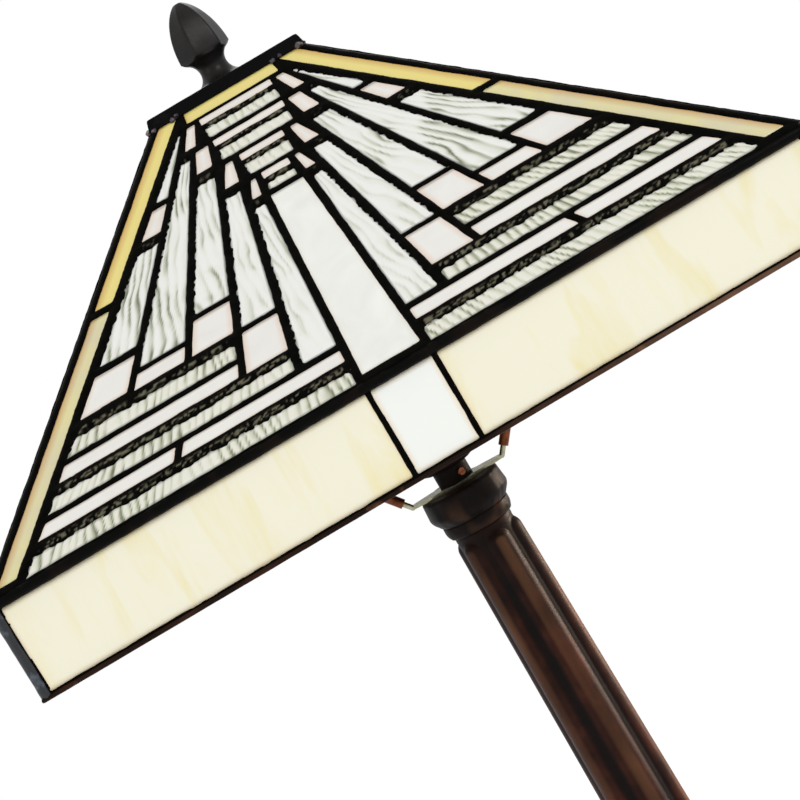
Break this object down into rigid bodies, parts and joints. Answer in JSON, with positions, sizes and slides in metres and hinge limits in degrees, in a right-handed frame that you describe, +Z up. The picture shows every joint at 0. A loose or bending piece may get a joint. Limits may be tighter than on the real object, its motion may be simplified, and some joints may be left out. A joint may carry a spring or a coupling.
{
  "type": "stained glass table lamp",
  "caption": "Table lamp with a square leaded-glass shade, level skirt and acorn finial, held by a harp on a reeded bronze column with a round weighted base.",
  "frame": {"origin": "centre of the felt pad underside, on the table", "axes": "+Z up along the column, front of the shade faces -Y"},
  "size_m": [0.413, 0.413, 0.583],
  "materials": {
    "bronze": "oil-rubbed bronze, satin",
    "rim_bronze": "dark bronze with copper rub-through",
    "lead": "black patina over leaded came",
    "patina": "black patina over solder",
    "dark_metal": "satin dark grey",
    "yellow_glass": "streaky pale yellow opalescent",
    "opal_glass": "white opalescent",
    "clear_glass": "rippled clear",
    "skirt_glass": "cream wispy opalescent",
    "bulb_glass": "frosted",
    "brass": "satin brass",
    "antique_brass": "antique brass",
    "copper": "copper",
    "nickel": "plain",
    "steel": "zinc plated",
    "iron": "as cast",
    "phenolic": "black phenolic",
    "card": "pressed card",
    "bushing": "black",
    "green_felt": "felt"
  },
  "bodies": {
    "stand": {"base_felt": "green_felt", "base_plinth": "bronze", "base_dome": "bronze", "base_weight": "iron", "base_washer": "steel", "base_nut": "brass", "cord_bushing": "bushing", "column": "bronze", "neck_ring": "bronze", "capital": "bronze", "lamp_pipe": "brass", "harp_saddle": "antique_brass", "harp": "antique_brass", "socket_cap": "bronze", "set_screw": "copper", "socket_shell": "brass", "socket_liner": "card", "socket_body": "phenolic", "screw_shell": "nickel"},
    "ferrule_left": {"ferrule_left": "copper"},
    "ferrule_right": {"ferrule_right": "copper"},
    "switch": {"switch_knob": "phenolic"},
    "bulb": {"bulb_glass": "bulb_glass", "bulb_base": "nickel"},
    "seat": {"seat_washer": "brass"},
    "shade": {"shade_cap": "patina", "cap_frame": "patina", "hip_cames": "lead", "eave_came": "lead", "corner_cames": "lead", "bottom_rim": "rim_bronze", "came_front": "lead", "came_right": "lead", "came_back": "lead", "came_left": "lead", "border_glass_front": "yellow_glass", "border_glass_right": "yellow_glass", "border_glass_back": "yellow_glass", "border_glass_left": "yellow_glass", "white_glass_front": "opal_glass", "white_glass_right": "opal_glass", "white_glass_back": "opal_glass", "white_glass_left": "opal_glass", "clear_glass_front": "clear_glass", "clear_glass_right": "clear_glass", "clear_glass_back": "clear_glass", "clear_glass_left": "clear_glass", "skirt_came_front": "lead", "skirt_came_right": "lead", "skirt_came_back": "lead", "skirt_came_left": "lead", "skirt_glass_front": "skirt_glass", "skirt_glass_right": "skirt_glass", "skirt_glass_back": "skirt_glass", "skirt_glass_left": "skirt_glass"},
    "finial": {"finial": "dark_metal", "finial_insert": "brass"}
  },
  "joints": [
    {"name": "ferrule_left_slide", "type": "slide", "parent": "stand", "child": "ferrule_left", "axis": [-0.6157, 0, 0.788], "range_m": [0, 0.012]},
    {"name": "ferrule_right_slide", "type": "slide", "parent": "stand", "child": "ferrule_right", "axis": [0.6157, 0, 0.788], "range_m": [0, 0.012]},
    {"name": "switch_turn", "type": "hinge", "parent": "stand", "child": "switch", "pos_m": [0, -0.02, 0.329], "axis": [0, -1, 0], "continuous": true},
    {"name": "bulb_turn", "type": "hinge", "parent": "stand", "child": "bulb", "pos_m": [0, 0, 0.4], "axis": [0, 0, 1], "continuous": true},
    {"name": "shade_lift", "type": "slide", "parent": "stand", "child": "seat", "axis": [0, 0, 1], "range_m": [0, 0.06]},
    {"name": "shade_swivel", "type": "hinge", "parent": "seat", "child": "shade", "pos_m": [0, 0, 0.536], "axis": [0, 0, 1], "continuous": true},
    {"name": "finial_turn", "type": "hinge", "parent": "shade", "child": "finial", "pos_m": [0, 0, 0.545], "axis": [0, 0, 1], "continuous": true}
  ]
}
